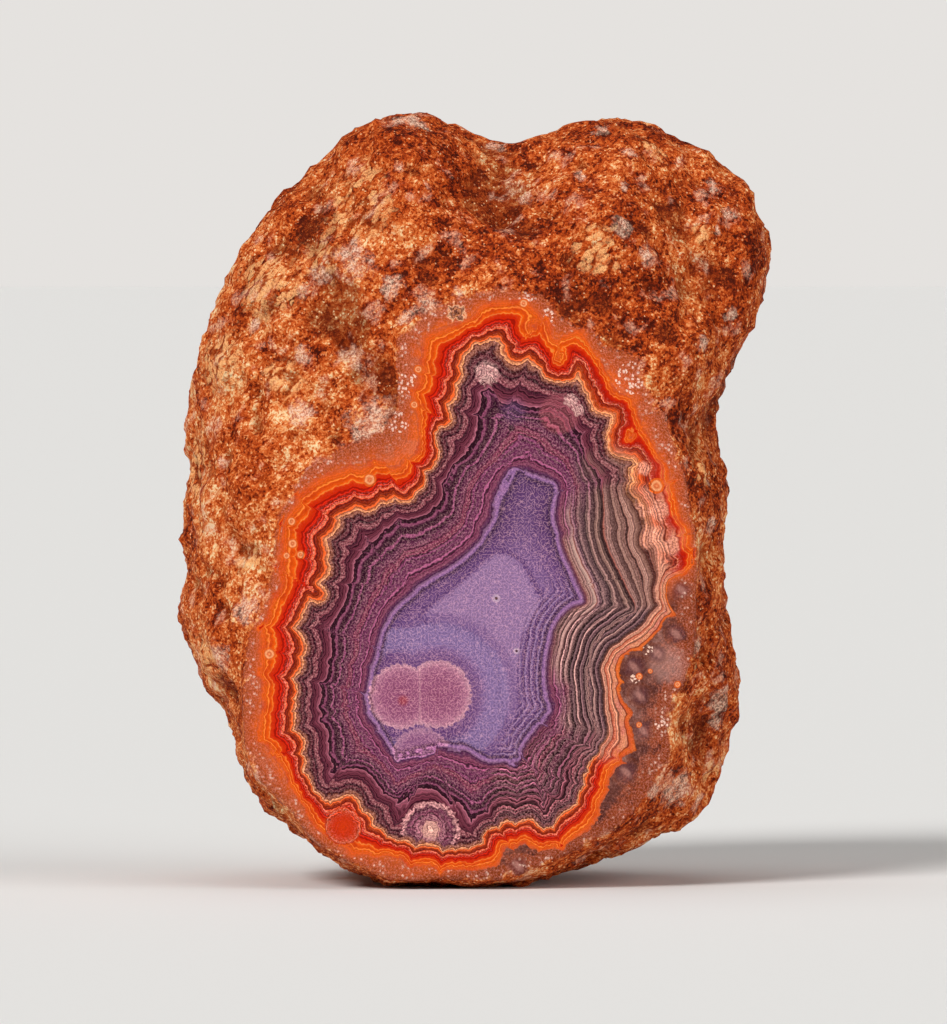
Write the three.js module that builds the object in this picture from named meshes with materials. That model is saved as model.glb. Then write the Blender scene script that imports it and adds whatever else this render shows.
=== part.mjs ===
// An agate nodule with one side ground flat and polished, standing on the small flat spot at its foot.
// Millimetres. X is to the right, Y to the back and Z up. The polished window faces -Y, and the
// origin lies on the flat spot, under the middle of the stone.
import * as THREE from "three";
import { mergeVertices } from "three/addons/utils/BufferGeometryUtils.js";
import { ImprovedNoise } from "three/addons/math/ImprovedNoise.js";

// Depths, measured along Y from the stone's widest section, its girth
const WINDOW_Y = -16;
const BACK_Y = 26;
const FOOT_Z = 0;

// The point of the window that both outlines are measured around
const HUB = { x: 0.5, z: 32.1 };
const BACK_HUB = { x: -1, z: 30 };

// The girth as seen from the front, clockwise from the top of the left lobe: [x, z]
const GIRTH = [
  [-6, 76.8], [-3.3, 76], [-1, 75.4], [1, 74.5], [2.7, 73.7], [4.2, 73.9], [5.5, 74.3], [8, 74.5],
  [10.1, 75.1], [11.5, 75.8], [12.9, 76.5], [15, 76.4], [17.5, 76.3], [19.3, 75.8], [20.7, 74.7],
  [22.1, 73.5], [24.7, 72.3], [27, 70.5], [28.7, 68.5], [29.8, 66.1], [30.5, 63.1], [30.6, 60.3],
  [30, 57.3], [28.6, 54.9], [26.8, 52.9], [26.2, 51.4], [25.1, 49.9], [24.8, 47.6], [24.8, 45.1],
  [25.5, 41.8], [26.2, 38.6], [25.7, 35.1], [25.6, 31.6], [25.7, 28.1], [26.3, 24.6], [27.1, 20.9],
  [27.2, 18.1], [26.6, 14.8], [25.4, 11.6], [25.1, 9.1], [23.5, 7.1], [21, 5.4], [18, 4.3],
  [15.3, 2.9], [12.5, 1.9], [9.5, 1], [6.5, 0.1], [3.5, -0.5], [0, -0.5], [-3, -0.3], [-6.5, -0.4],
  [-9, 0.2], [-11.5, 1.8], [-14.5, 3.6], [-17.5, 5.6], [-20.7, 8.1], [-21.8, 10.1], [-22.5, 13.1],
  [-23, 15.8], [-24.6, 17.3], [-25.9, 19.1], [-26.9, 21.8], [-28, 24.1], [-28.4, 26.9],
  [-27.7, 29.9], [-28.2, 33.6], [-27.9, 37.6], [-27.8, 41.6], [-27.5, 45.1], [-27.4, 48.9],
  [-26.6, 52.6], [-25.3, 55.3], [-25, 57.3], [-23.9, 60.1], [-22.1, 63.4], [-20.2, 66],
  [-18.2, 68.5], [-16, 70.7], [-13.3, 72.2], [-12.2, 74.3], [-10.2, 75.4], [-8, 76.5],
];

// The rim of the polished window, clockwise from its top: [x, z]
const WINDOW = [
  [3.5, 59], [5.7, 59], [7.7, 58.4], [8.9, 57.6], [9.3, 56.1], [11, 55.7], [12.7, 55],
  [13.9, 53.3], [15.7, 53.1], [17.3, 51.9], [17.6, 50.1], [18.7, 47.9], [20.1, 45.1], [21.3, 42.1],
  [21.9, 38.9], [22.5, 36.1], [22.9, 33.3], [22.8, 30.1], [22.7, 26.9], [22.5, 23.9], [21.9, 21.3],
  [20.5, 18.6], [20.3, 16.1], [20.3, 13.6], [19, 11.5], [17.6, 9.1], [16.3, 7.3], [13.9, 5.7],
  [11.3, 4.3], [9.1, 3.1], [6.3, 1.9], [3.5, 1], [0.5, 1], [-2.5, 1.3], [-5.3, 0.8], [-7.5, 1.2],
  [-10, 2.1], [-12, 3.1], [-14.3, 4.5], [-16, 6.1], [-17.3, 8.1], [-19.3, 9.9], [-20.9, 11.6],
  [-21.6, 13.9], [-21.9, 16.9], [-21.8, 20.1], [-21.5, 23.1], [-20.9, 25.6], [-20.2, 27.8],
  [-19.1, 30.1], [-18.8, 33.1], [-18.4, 36.1], [-17.5, 38.4], [-16.2, 40.7], [-14.3, 42.3],
  [-12, 43.3], [-9.5, 44.3], [-7.5, 45.7], [-6.4, 47.6], [-6.2, 49.6], [-6.9, 51.9], [-7.1, 53.6],
  [-5.7, 55.3], [-3.7, 57], [-1.3, 58.1], [1.1, 58.8],
];

// Lumps and hollows of the rind, as seen from the front: height is negative in a hollow
const FRONT_RELIEF = [
  { x: 2.9, z: 71.5, radius: 3.6, height: -1.2 },
  { x: 3.8, z: 68.6, radius: 3.6, height: -2 },
  { x: 5.6, z: 66, radius: 3.2, height: -1.9 },
  { x: 9.6, z: 62.4, radius: 2.6, height: -1.5 },
  { x: 12.5, z: 58, radius: 3.6, height: -1.3 },
  { x: 20.7, z: 67.6, radius: 3.6, height: -2.6 },
  { x: 24, z: 60.5, radius: 4, height: -1.4 },
  { x: 25.6, z: 60.3, radius: 2.2, height: -1.5 },
  { x: 11.2, z: 72.1, radius: 1.8, height: -1.1 },
  { x: -4.4, z: 61.9, radius: 2, height: -1.9 },
  { x: -12, z: 56.2, radius: 3.2, height: -1.4 },
  { x: -15.5, z: 67.6, radius: 3, height: -0.7 },
  { x: -21.4, z: 32.5, radius: 2, height: -1.1 },
  { x: -24.2, z: 19.6, radius: 2.2, height: -1.3 },
  { x: 23.6, z: 15.2, radius: 2.3, height: -1.6 },
  { x: 22, z: 18.5, radius: 2.4, height: -0.8 },
  { x: -19.5, z: 7.9, radius: 2, height: -0.8 },
  { x: -7, z: 72, radius: 6, height: 1.4 },
  { x: 14.5, z: 65, radius: 4.6, height: 1.6 },
  { x: 17.5, z: 71.5, radius: 3, height: 1 },
  { x: 27.6, z: 66, radius: 3, height: 0.9 },
  { x: 20, z: 54.5, radius: 4, height: 0.8 },
  { x: -8.5, z: 48.5, radius: 3.4, height: 0.9 },
  { x: -16, z: 49, radius: 4.5, height: 0.8 },
  { x: -19, z: 60, radius: 4, height: 0.9 },
  { x: -25.3, z: 22.6, radius: 2, height: 0.9 },
  { x: 25.6, z: 19.4, radius: 2.6, height: 0.7 },
];

// The same for the back of the stone, which is hidden in the photograph
const BACK_RELIEF = [
  { x: 3, z: 70, radius: 5, height: -2 },
  { x: -9, z: 62, radius: 9, height: 1.7 },
  { x: 15, z: 61, radius: 8, height: 1.9 },
  { x: 2, z: 47, radius: 4.2, height: -1.6 },
  { x: 12, z: 39, radius: 2.4, height: -1.5 },
  { x: -15, z: 44, radius: 3, height: -1.6 },
  { x: -7, z: 31, radius: 10, height: 1.5 },
  { x: 13, z: 24, radius: 7, height: 1.3 },
  { x: 1, z: 18, radius: 3, height: -1.4 },
  { x: -17, z: 22, radius: 2.6, height: -1.3 },
  { x: 19, z: 46, radius: 3.2, height: -1.2 },
];

// Mesh: rings run from the window's middle over its rim and the girth to the middle of the back
const SEGMENTS = 128;
const RIM_RING = 2;
const GIRTH_RING = 16;
const RINGS = 36;
const OUTLINE_SAMPLES = 2400;

// Roundness of the rind between window and girth, and of the back
const FRONT_POWER = 2.1;
const BACK_POWER = 2.6;
const RIM_TURN = THREE.MathUtils.degToRad(30);
const LEAST_RIND = 0.8;
const NOTCH_SPREAD = 9;
const RING_CROWDING = 1.3;

const directions = Array.from({ length: SEGMENTS }, (_, i) => (2 * Math.PI * i) / SEGMENTS);
const noise = new ImprovedNoise();

// The distance from the hub to an outline in each of the mesh's directions
function radiiOf(outline) {
  const corners = outline.map(([x, z]) => new THREE.Vector3(x - HUB.x, 0, z - HUB.z));
  const rays = new THREE.CatmullRomCurve3(corners, true)
    .getPoints(OUTLINE_SAMPLES)
    .map((p) => ({ angle: Math.atan2(p.z, p.x), radius: Math.hypot(p.x, p.z) }));
  return directions.map((angle) => {
    const closer = (a, b) => (Math.cos(b.angle - angle) > Math.cos(a.angle - angle) ? b : a);
    return rays.reduce(closer).radius;
  });
}

// Radii averaged over their neighbours, which takes the notches out
function eased(radii) {
  const reach = Array.from({ length: 2 * NOTCH_SPREAD + 1 }, (_, k) => k - NOTCH_SPREAD);
  return radii.map((_, i) => {
    const sum = reach.reduce((total, k) => total + radii[(i + k + SEGMENTS) % SEGMENTS], 0);
    return sum / reach.length;
  });
}

const girthRadii = radiiOf(GIRTH);
const easedGirthRadii = eased(girthRadii);
const rimRadii = radiiOf(WINDOW).map((rim, i) => Math.min(rim, girthRadii[i] - LEAST_RIND));

// The two coordinates of a superellipse's quarter arc, at an angle from its start
function arc(turn, power) {
  return {
    out: Math.pow(Math.sin(turn), 2 / power),
    deep: Math.pow(Math.max(Math.cos(turn), 0), 2 / power),
  };
}

// The widest section isn't quite level: it wanders to the front and to the back
function girthY(angle) {
  return 1.7 * Math.sin(2 * angle + 0.8) + 1.1 * Math.sin(3 * angle - 1);
}

function around(hub, angle, radius, y) {
  return new THREE.Vector3(hub.x + radius * Math.cos(angle), y, hub.z + radius * Math.sin(angle));
}

function windowPoint(ring, i) {
  return around(HUB, directions[i], (rimRadii[i] * ring) / RIM_RING, WINDOW_Y);
}

// From the rim, where the rind meets the polished flat at an angle, round to the girth
function frontPoint(ring, i) {
  const share = (ring - RIM_RING) / (GIRTH_RING - RIM_RING);
  const start = arc(RIM_TURN, FRONT_POWER);
  const here = arc(THREE.MathUtils.lerp(RIM_TURN, Math.PI / 2, share), FRONT_POWER);
  const out = (here.out - start.out) / (1 - start.out);
  const y = THREE.MathUtils.lerp(girthY(directions[i]), WINDOW_Y, here.deep / start.deep);
  return around(HUB, directions[i], THREE.MathUtils.lerp(rimRadii[i], girthRadii[i], out), y);
}

// From the girth, whose notches fade, round to the middle of the back, where the rings stay close
function backPoint(ring, i) {
  const left = (RINGS - ring) / (RINGS - GIRTH_RING);
  const here = arc((Math.PI / 2) * (1 - left ** RING_CROWDING), BACK_POWER);
  const hub = {
    x: THREE.MathUtils.lerp(BACK_HUB.x, HUB.x, here.deep),
    z: THREE.MathUtils.lerp(BACK_HUB.z, HUB.z, here.deep),
  };
  const radius = THREE.MathUtils.lerp(easedGirthRadii[i], girthRadii[i], here.deep ** 3);
  const y = THREE.MathUtils.lerp(girthY(directions[i]), BACK_Y, here.out);
  return around(hub, directions[i], radius * here.deep, y);
}

function surfacePoint(ring, i) {
  if (ring <= RIM_RING) return windowPoint(ring, i);
  if (ring <= GIRTH_RING) return frontPoint(ring, i);
  return backPoint(ring, i);
}

// A unit sphere with its poles on Y, each point moved out to the stone
function smoothStone() {
  const sphere = new THREE.SphereGeometry(1, SEGMENTS, RINGS);
  const place = sphere.attributes.position;
  for (let v = 0; v < place.count; v++) {
    const y = THREE.MathUtils.clamp(place.getY(v), -1, 1);
    const ring = Math.round((Math.acos(-y) / Math.PI) * RINGS);
    const turn = Math.atan2(place.getZ(v), place.getX(v)) / (2 * Math.PI);
    const i = (Math.round(turn * SEGMENTS) + SEGMENTS) % SEGMENTS;
    const p = surfacePoint(ring, i);
    place.setXYZ(v, p.x, p.y, p.z);
  }
  sphere.deleteAttribute("normal");
  sphere.deleteAttribute("uv");
  const merged = mergeVertices(sphere, 1e-3);
  merged.computeVertexNormals();
  return merged;
}

// How far the rind stands out at a point: broad lumps and finer ones, then the placed relief
function reliefAt(p, normal) {
  const broad = 1.3 * noise.noise(p.x / 11, p.y / 11, p.z / 11);
  const fine = 0.9 * noise.noise(p.x / 4.3, p.y / 4.3, p.z / 4.3 + 7);
  const placed = (normal.y < 0 ? FRONT_RELIEF : BACK_RELIEF).reduce((sum, { x, z, radius, height }) => {
    const away = Math.hypot(p.x - x, p.z - z) / radius;
    return sum + height * Math.exp(-away * away);
  }, 0);
  return broad + fine + placed;
}

// Pushes the rind in and out. The girth keeps its outline, and the polished flat stays flat.
function roughen(stone) {
  const { position, normal } = stone.attributes;
  const p = new THREE.Vector3();
  const n = new THREE.Vector3();
  for (let i = 0; i < position.count; i++) {
    p.fromBufferAttribute(position, i);
    n.fromBufferAttribute(normal, i);
    if (p.y > WINDOW_Y) {
      const behindRim = THREE.MathUtils.smoothstep(p.y, WINDOW_Y, WINDOW_Y + 2.5);
      const offGirth = THREE.MathUtils.smoothstep(Math.abs(n.y), 0, 0.25);
      p.addScaledVector(n, reliefAt(p, n) * offGirth * behindRim);
    }
    position.setXYZ(i, p.x, Math.max(p.y, WINDOW_Y), Math.max(p.z, FOOT_Z));
  }
  stone.computeVertexNormals();
  return stone;
}

const rind = new THREE.MeshStandardMaterial({ color: 0x9a4a26, roughness: 0.75, metalness: 0 });
const nodule = new THREE.Mesh(roughen(smoothStone()), rind);
nodule.name = "agate_nodule";

const agate = new THREE.Group();
agate.add(nodule);

export default agate;
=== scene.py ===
import math
from functools import reduce

import bpy
import numpy as np
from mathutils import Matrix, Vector, noise
from mathutils.bvhtree import BVHTree


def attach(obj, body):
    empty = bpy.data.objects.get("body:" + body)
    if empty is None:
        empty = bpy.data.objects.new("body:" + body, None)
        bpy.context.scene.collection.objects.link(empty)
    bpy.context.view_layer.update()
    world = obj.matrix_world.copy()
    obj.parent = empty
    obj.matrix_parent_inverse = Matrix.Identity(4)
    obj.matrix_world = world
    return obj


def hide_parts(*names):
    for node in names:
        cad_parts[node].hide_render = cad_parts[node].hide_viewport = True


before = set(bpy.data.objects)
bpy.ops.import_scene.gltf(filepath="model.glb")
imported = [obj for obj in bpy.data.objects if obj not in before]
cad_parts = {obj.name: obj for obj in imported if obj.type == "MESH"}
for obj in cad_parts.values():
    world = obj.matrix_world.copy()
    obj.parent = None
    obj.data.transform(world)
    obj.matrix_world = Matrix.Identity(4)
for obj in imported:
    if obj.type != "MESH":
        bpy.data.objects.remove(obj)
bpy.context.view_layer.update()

# Lengths are in millimetres up to the finished mesh, which is in metres as the frame is.
MM = 0.001
WINDOW_Y = -16.0
HUB = Vector((0.5, 0.0, 32.1))

# Mesh: points round the hub, rings over the polished face, rings over the rind
AROUND = 400
FACE_RINGS = 66
RIND_RINGS = 178

# How deep in the core the band count rises by one
CORE_SCALE = 10.0

# Lines of the banded pattern, clockwise from the top as seen from the front: (x, z).
# They run from the outer edge of the orange to the purple core and the heart in it.
ORANGE_EDGE = [
    (1.5, 57.9), (2.5, 58.3), (3.5, 58.4), (5.5, 58.5), (6.5, 58.1), (7, 57.6), (8, 56.6),
    (8.7, 55.6), (8.8, 54.6), (9.7, 54.8), (10.5, 55.3), (11.7, 55.6), (12, 54.6), (12.7, 53.1),
    (13.3, 51.9), (14.1, 50.6), (15, 49.6), (16, 48.3), (16.7, 47.6), (17.5, 46.6), (18.3, 44.9),
    (19, 43.6), (19.7, 42.6), (20.3, 41.1), (20.8, 39.6), (21.2, 38.4), (21.8, 36.6),
    (22.5, 35.1), (22.5, 33.3), (22.2, 32.1), (22, 31.1), (21.1, 30.9), (20.3, 30.4),
    (20.2, 29.1), (20.7, 27.9), (21.3, 26.9), (20, 26.6), (19.3, 25.6), (18.5, 24.6),
    (17.8, 23.9), (17.5, 23.3), (16.5, 23.3), (15.7, 22.9), (15.3, 22.1), (15.5, 21.1),
    (16, 20.6), (15.5, 19.9), (15.8, 19.1), (16.3, 18.1), (16.8, 17.4), (16.3, 16.6),
    (16.7, 15.6), (17.1, 14.6), (17.3, 13.6), (16.7, 13.3), (15.5, 12.9), (14.7, 12.1),
    (14.7, 11.3), (14.1, 10.3), (13.8, 9.1), (13.3, 8.1), (13, 6.9), (12.5, 5.9), (11.5, 5.1),
    (10, 4.5), (8.5, 4.3), (5.7, 4.3), (4.5, 4.1), (3.7, 3.3), (3.3, 2.3), (2.5, 1.9), (1.3, 1.7),
    (-0.5, 1.7), (-2.5, 1.9), (-4, 2.1), (-5.5, 2.3), (-6.5, 2.9), (-7.7, 3.1), (-8.7, 2.9),
    (-10, 3.1), (-11.5, 2.9), (-12, 4.3), (-13, 4.9), (-14, 5.3), (-15, 5.9), (-15.7, 6.9),
    (-16, 8.1), (-16.7, 9.1), (-17.5, 10.1), (-18, 11.3), (-19.3, 13.1), (-19.9, 14.6),
    (-20.3, 16.1), (-20.3, 20.1), (-20.3, 22.1), (-20.7, 23.6), (-20.3, 25.1), (-19.7, 26.6),
    (-19.5, 28.1), (-19, 29.1), (-18.3, 30.1), (-18.5, 31.6), (-18.6, 33.1), (-18.3, 34.6),
    (-18, 36.1), (-17.7, 37.1), (-17.2, 38.1), (-16.5, 39.1), (-15.7, 39.8), (-14.7, 40.6),
    (-13.5, 41.5), (-12, 41.9), (-10.5, 42.1), (-7.5, 42.1), (-6.3, 42.4), (-5.3, 43.1),
    (-4.7, 44.1), (-4.7, 45.3), (-4.9, 46.6), (-5.3, 48.1), (-5.3, 49.6), (-4.7, 51.1),
    (-4.5, 52.6), (-4.5, 54.1), (-3.7, 55.1), (-2.7, 55.6), (-1.5, 56.1), (-0.5, 56.3),
    (0.5, 56.9),
]
TAN_LINE = [
    (1.5, 54), (2.5, 54.3), (3.4, 54.3), (3.5, 53.1), (4.2, 52.4), (5.5, 52.1), (6.5, 51.8),
    (7.5, 51.1), (8.3, 50.6), (9.5, 50.4), (10.5, 50.6), (11, 51.1), (11.3, 50.3), (11.7, 49.1),
    (12.5, 47.9), (13.3, 47.1), (14, 46.3), (14.2, 45.3), (14.4, 44.1), (15, 43.1), (15.7, 42.5),
    (16.5, 42.4), (16.3, 41.1), (16.1, 39.6), (16.8, 38.1), (17.5, 37.1), (17.7, 35.6),
    (17.5, 34.1), (18, 33.3), (18.5, 32.1), (19, 30.9), (18.6, 29.6), (18.8, 28.6), (19.3, 28.1),
    (18.5, 27.3), (17.5, 25.8), (16.5, 25.1), (15.3, 24.4), (14.3, 23.6), (13.8, 22.6),
    (13.6, 21.6), (14, 20.1), (14, 18.1), (14.3, 16.6), (14.2, 15.1), (13.5, 14.3), (13, 13.3),
    (12.3, 12.3), (11.7, 11.3), (11.3, 10.1), (10.7, 8.9), (10.3, 7.8), (9.5, 7.3), (8.5, 6.9),
    (7.5, 6.6), (6.5, 6.8), (5, 6.9), (3.5, 6.6), (2.5, 5.9), (1.5, 4.6), (0.5, 4.1), (-0.5, 4),
    (-2.5, 4.2), (-4.5, 4.3), (-5.5, 4.6), (-7, 5), (-8, 5.6), (-9, 6.4), (-9.7, 7.3),
    (-10.3, 8.3), (-11.5, 8.9), (-12.5, 9), (-13.5, 8.5), (-14.3, 9.4), (-15, 10.4),
    (-15.7, 11.3), (-16.2, 11.9), (-15.8, 12.9), (-15.9, 14.1), (-16.4, 15.6), (-16.8, 16.9),
    (-16.9, 19.1), (-16.7, 20.1), (-16.5, 21.4), (-16, 22.6), (-15.8, 24.1), (-16.2, 25.1),
    (-16.3, 26.1), (-16.2, 27.3), (-15.5, 28.1), (-14.5, 28.4), (-13.7, 29.1), (-13.8, 30.3),
    (-13.5, 31.6), (-13.3, 32.6), (-13.3, 34.1), (-12.7, 35.3), (-12, 36.3), (-11.8, 36.9),
    (-11, 37.3), (-9.5, 37.6), (-8, 37.9), (-6.5, 38.1), (-5.5, 38.5), (-4.7, 39.4), (-4, 40.1),
    (-3.3, 40.9), (-2.8, 41.9), (-2.8, 44.1), (-2.9, 44.9), (-2, 45.6), (-1.4, 46.3),
    (-1.3, 47.3), (-1, 48.1), (-0.7, 49.1), (-0.3, 50.3), (-0.2, 51.6), (0.1, 52.9), (0.8, 53.8),
]
MAUVE_LINE = [
    (4.5, 49.8), (6, 49.5), (7.5, 48.7), (9.1, 47.9), (10.5, 46.6), (11.5, 44.9), (12.3, 43.1),
    (13, 41.3), (13.5, 39.6), (13.7, 38.1), (13.5, 36.3), (13.7, 34.6), (14.3, 32.9),
    (15.1, 31.1), (15.9, 29.4), (16.9, 27.8), (15.9, 27), (14.7, 26.3), (13.6, 25.4),
    (12.7, 24.1), (12.3, 22.6), (12.1, 20.9), (12.2, 19.1), (12.5, 17.5), (12.9, 15.9),
    (12.1, 14.7), (11.1, 13.6), (10.2, 12.3), (9.3, 10.9), (8.4, 9.7), (7.3, 9.2), (5.5, 9.4),
    (4, 9.3), (2.5, 8.6), (1.4, 7.5), (0.5, 6.5), (-0.3, 7.8), (-1.3, 9), (-2.5, 9.8), (-3.7, 10),
    (-5, 9.6), (-6.1, 8.7), (-7.1, 7.5), (-7.9, 8.6), (-9, 9.9), (-10.3, 10.8), (-11.7, 11.2),
    (-12.8, 11.6), (-13.2, 13.1), (-13.4, 14.8), (-13.9, 16.5), (-14.3, 18.1), (-14.2, 19.7),
    (-13.6, 21.4), (-13.2, 23.1), (-13.3, 24.9), (-12.9, 26.5), (-12, 28.3), (-11.3, 30.1),
    (-10.9, 31.9), (-10, 33.5), (-8.5, 34.8), (-6.8, 36), (-5, 36.7), (-3.4, 37.5), (-2.2, 38.7),
    (-1.4, 40.3), (-1, 41.9), (0, 43.2), (0.8, 44.7), (1.2, 46.3), (1.5, 47.9), (2.7, 49.3),
]
CORE_EDGE = [
    (5.2, 41.7), (7, 40.9), (8.8, 40.4), (9.3, 39.5), (9.1, 38.1), (9, 36.6), (9.3, 35.3),
    (9.8, 33.6), (10.6, 31.8), (11.3, 30.1), (11.9, 28.4), (10.8, 27.9), (9.8, 27.1), (9.1, 26.1),
    (8.6, 24.8), (8.3, 23.1), (8.2, 21.1), (8.3, 19.1), (8.7, 17.7), (8, 16.7), (7.1, 15.8),
    (6.4, 14.8), (5.8, 13.7), (5.4, 12.8), (3.5, 12.4), (2.1, 12.4), (1, 13.1), (-0.3, 13.8),
    (-2, 14.1), (-4, 13.9), (-5.5, 13.5), (-6.9, 13.1), (-7.7, 14.3), (-8.7, 15.7), (-9.5, 17.1),
    (-10, 18.6), (-9.8, 20.4), (-9.3, 22.1), (-8.8, 24.1), (-8, 26.1), (-6.9, 28), (-5.3, 29.5),
    (-3.3, 31.1), (-1, 32.4), (0.5, 33.6), (1.9, 35.2), (2.8, 36.9), (3.5, 38.8), (4.5, 40.4),
]
CORE_HEART = [
    (3.2, 33.2), (5.3, 32.2), (6.5, 30.1), (7.4, 28.1), (5.8, 25.4), (5.3, 22.7), (5.1, 19.1),
    (4.5, 16.1), (3.9, 18.5), (3.5, 22.1), (2.5, 24.1), (1, 25.6), (-1, 26.3), (-4, 27),
    (-1.2, 29.5), (0.9, 31.4),
]

# Growth centres, which the bands wrap round: (x, z), the line that they start from, and how
# many millimetres the bands reach from there to the next line
GROWTHS = (
    ((-3.4, 5.9), 2, 4), ((-12, 6.3), 1, 2.9), ((6.8, 55.6), 1, 4), ((9.5, 52.8), 1, 2.6),
    ((16.3, 44.9), 1, 2.4),
)

# Round marks in the pattern, here and below: (x, z, radius)
EYE = (-3.4, 5.9, 4)
EMBER = (-12, 6.3, 1.9)
CORE_LOBES = ((-6.3, 19.1, 3.2), (-2.7, 19.3, 3.35))
LOBE_BELOW = (-4.3, 12.9, 3.1)
RED_SPOT = (-6.1, 18.7, 0.55)
HOLES = ((3.1, 28.8, 0.15), (5.1, 23.6, 0.12), (4.6, 45.6, 0.32))
VIOLET_PATCH = (4.8, 47.2, 1.5)
ROSE_LOBE = (9.3, 47, 2.1)
PALE_PATCHES = ((2.2, 51.1, 1.2), (10.5, 48.3, 0.7), (11.2, 47.4, 0.6))
ORBS = (
    (-17.1, 36.4, 0.5), (-17, 34.2, 0.55), (-17.6, 33, 0.4), (-16.2, 33.1, 0.45),
    (-19.3, 23.3, 0.65), (-4.6, 51.4, 0.45), (-5, 47.9, 0.45), (-9.4, 40.5, 0.7),
    (5.8, 57.9, 0.5), (18.9, 39.9, 0.8), (17.2, 21.1, 0.35), (18.3, 21.6, 0.25),
    (17.2, 16.3, 0.3), (21, 20.3, 0.35),
)
# Dotted pale clumps in the red on the right
CLUMPS = (
    (19.3, 37.6, 1.2), (20.5, 33.9, 1.2), (18.2, 34.8, 1.4), (16.9, 37.4, 0.9), (17.6, 41.6, 0.8),
)
# Dark pockets low on the right, each with a pale grain in it
POCKETS = (
    (16.7, 22, 1.35), (17.2, 19.2, 1.2), (17.6, 15.7, 1.3), (15.9, 11.6, 1.4), (19, 23.4, 1.1),
    (20.8, 25.3, 1.2), (21.4, 29.6, 1.2), (5.2, 2.4, 1.3),
)
PALE_GRAIN = 0.36

# Clusters of white crystals in the outer layer
CRYSTALS = (
    (16.4, 50.6, 1.5), (14.6, 49, 0.7), (-5.7, 50, 1.2), (-6.6, 46.2, 1), (6.2, 58.8, 0.7),
    (8, 56.7, 0.8), (18, 23.8, 0.6), (16.8, 20.9, 0.5), (19.4, 16.4, 0.7),
)
# On the front of the rind: pits, painted dark with shade, patches of pale quartz, and golden
# places
SHADED_PITS = (
    (-4.7, 62.5, 1.3), (-3.6, 60.6, 1.2), (-13.7, 56.1, 1.8), (-10.7, 56.3, 1.2),
    (-8.5, 50.9, 0.8), (-12.9, 45.2, 0.9), (-20.3, 57.2, 1.1), (-14.6, 69.4, 1.2),
    (-15.6, 65.8, 1.5), (-5.2, 71.6, 1.1), (-1.2, 66.1, 0.9), (1.8, 70.7, 0.5), (5, 67.4, 0.9),
    (11.5, 71.9, 0.8), (17.9, 73, 0.6), (10.1, 62.9, 1), (13.6, 57.6, 1.7), (20.7, 67.6, 2),
    (17.9, 65.4, 1.1), (25.8, 60.8, 1.5), (24.2, 61.9, 1.6), (20.4, 55.3, 1.5), (21.5, 50.1, 0.9),
    (23.8, 15.3, 1.7), (23, 14.2, 1.4), (21.8, 19.7, 1), (20.3, 13.3, 1), (17.6, 5.6, 1.5),
    (14.5, 4, 1.2), (-24.1, 20.5, 1.4), (-19.1, 7.6, 1.4),
)
PALE_SPOTS = (
    (-11.6, 62.5, 2), (-10.2, 63.5, 1.2), (-14.8, 60.7, 1.1), (-15.8, 58.8, 0.9),
    (-21.2, 56, 0.8), (-7.9, 59.3, 1.1), (-3.3, 57.9, 1.3), (-6, 56.9, 0.9), (-0.6, 59, 0.7),
    (-16.6, 52.8, 1), (-11.7, 52.9, 1.5), (-16.1, 47.5, 1.3), (-9.3, 46.6, 2.4),
    (-7.3, 76.5, 1.2), (-5.4, 76.3, 1.2), (-3.6, 75.8, 1), (-3.9, 70.1, 0.5), (-7, 71.3, 0.6),
    (3.2, 74, 1.1), (6.1, 68.7, 1), (11.4, 70.9, 0.7), (13.5, 75.7, 0.9), (16.6, 73.2, 0.8),
    (16.3, 69.4, 0.6), (15.8, 66, 1.1), (22, 72.2, 0.5), (24.5, 69.9, 0.9), (26.5, 66.8, 0.9),
    (25.7, 65.2, 0.5), (18.8, 62.7, 1.3), (26.6, 56.4, 0.8), (24.2, 54, 0.9), (23.3, 47.6, 0.7),
    (24.9, 35.7, 1), (-24.5, 42.1, 0.6), (-22.1, 28.2, 1.7), (-20.6, 26.6, 0.7),
    (-24.8, 22.7, 1.4), (-25.4, 19.4, 0.7), (-21.4, 16.5, 0.8), (-20.6, 14.2, 0.9),
    (-20.2, 11, 1.4), (-16.9, 8.7, 1.3), (-15, 4.7, 1), (25.9, 18.4, 2.1), (25.4, 15.8, 0.9),
    (23.6, 24.4, 1.3), (21.4, 10, 1.9), (23.6, 8.1, 1), (19, 9.4, 1), (14, 5.8, 1),
)
GOLDEN_SPOTS = (
    (-11.2, 68, 3.2), (-10.5, 71.6, 1.2), (-14.6, 62.8, 2.2), (-20.4, 60.2, 3.6), (-25.2, 52, 3),
    (-27.2, 41.5, 2.6), (-17.8, 51, 1.8), (-26.4, 22.5, 2.2), (-21.6, 33, 1.4), (13.4, 62.6, 2.2),
    (19.3, 73.4, 1.2), (23.4, 65.4, 1), (24, 42, 1.8), (22, 22.6, 1.2), (25, 11.4, 1.4),
)
# In the outer layer: a rusty knot near the top, and a cloudy place low on the right
RUSTY_KNOT = (-0.9, 57, 1)
CLOUDY = (20, 22.4, 2.2)
# The grey side of the bands: its middle, and how far it reaches across and up
GREY_SIDE = ((14.6, 27.2), (6.8, 14.0))

# How far the rim and the rind are eased, and how far round a point its relief is measured
# against, in steps of the grid
RIM_EASED = 1.6
RIND_EASED = (3.4, 2.8)
RELIEF_REACH = (3.5, 3)
# How many rings behind the rim it takes for the easing and for the crust to come in fully
EASED_IN = 6
CRUSTED_IN = 9

# Heights and sizes of the crust's forms, in millimetres
KNOBS = (0.7, 3.6)
KNOTS = (0.42, 1.6)
GRIT = (0.24, 0.85)
GRAINS = (-0.28, 1.3)
LEDGES = (0.16, 4.5)
SMALL_PITS = (0.6, 3.6)
GRAIN_HIGH = 0.42

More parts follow.
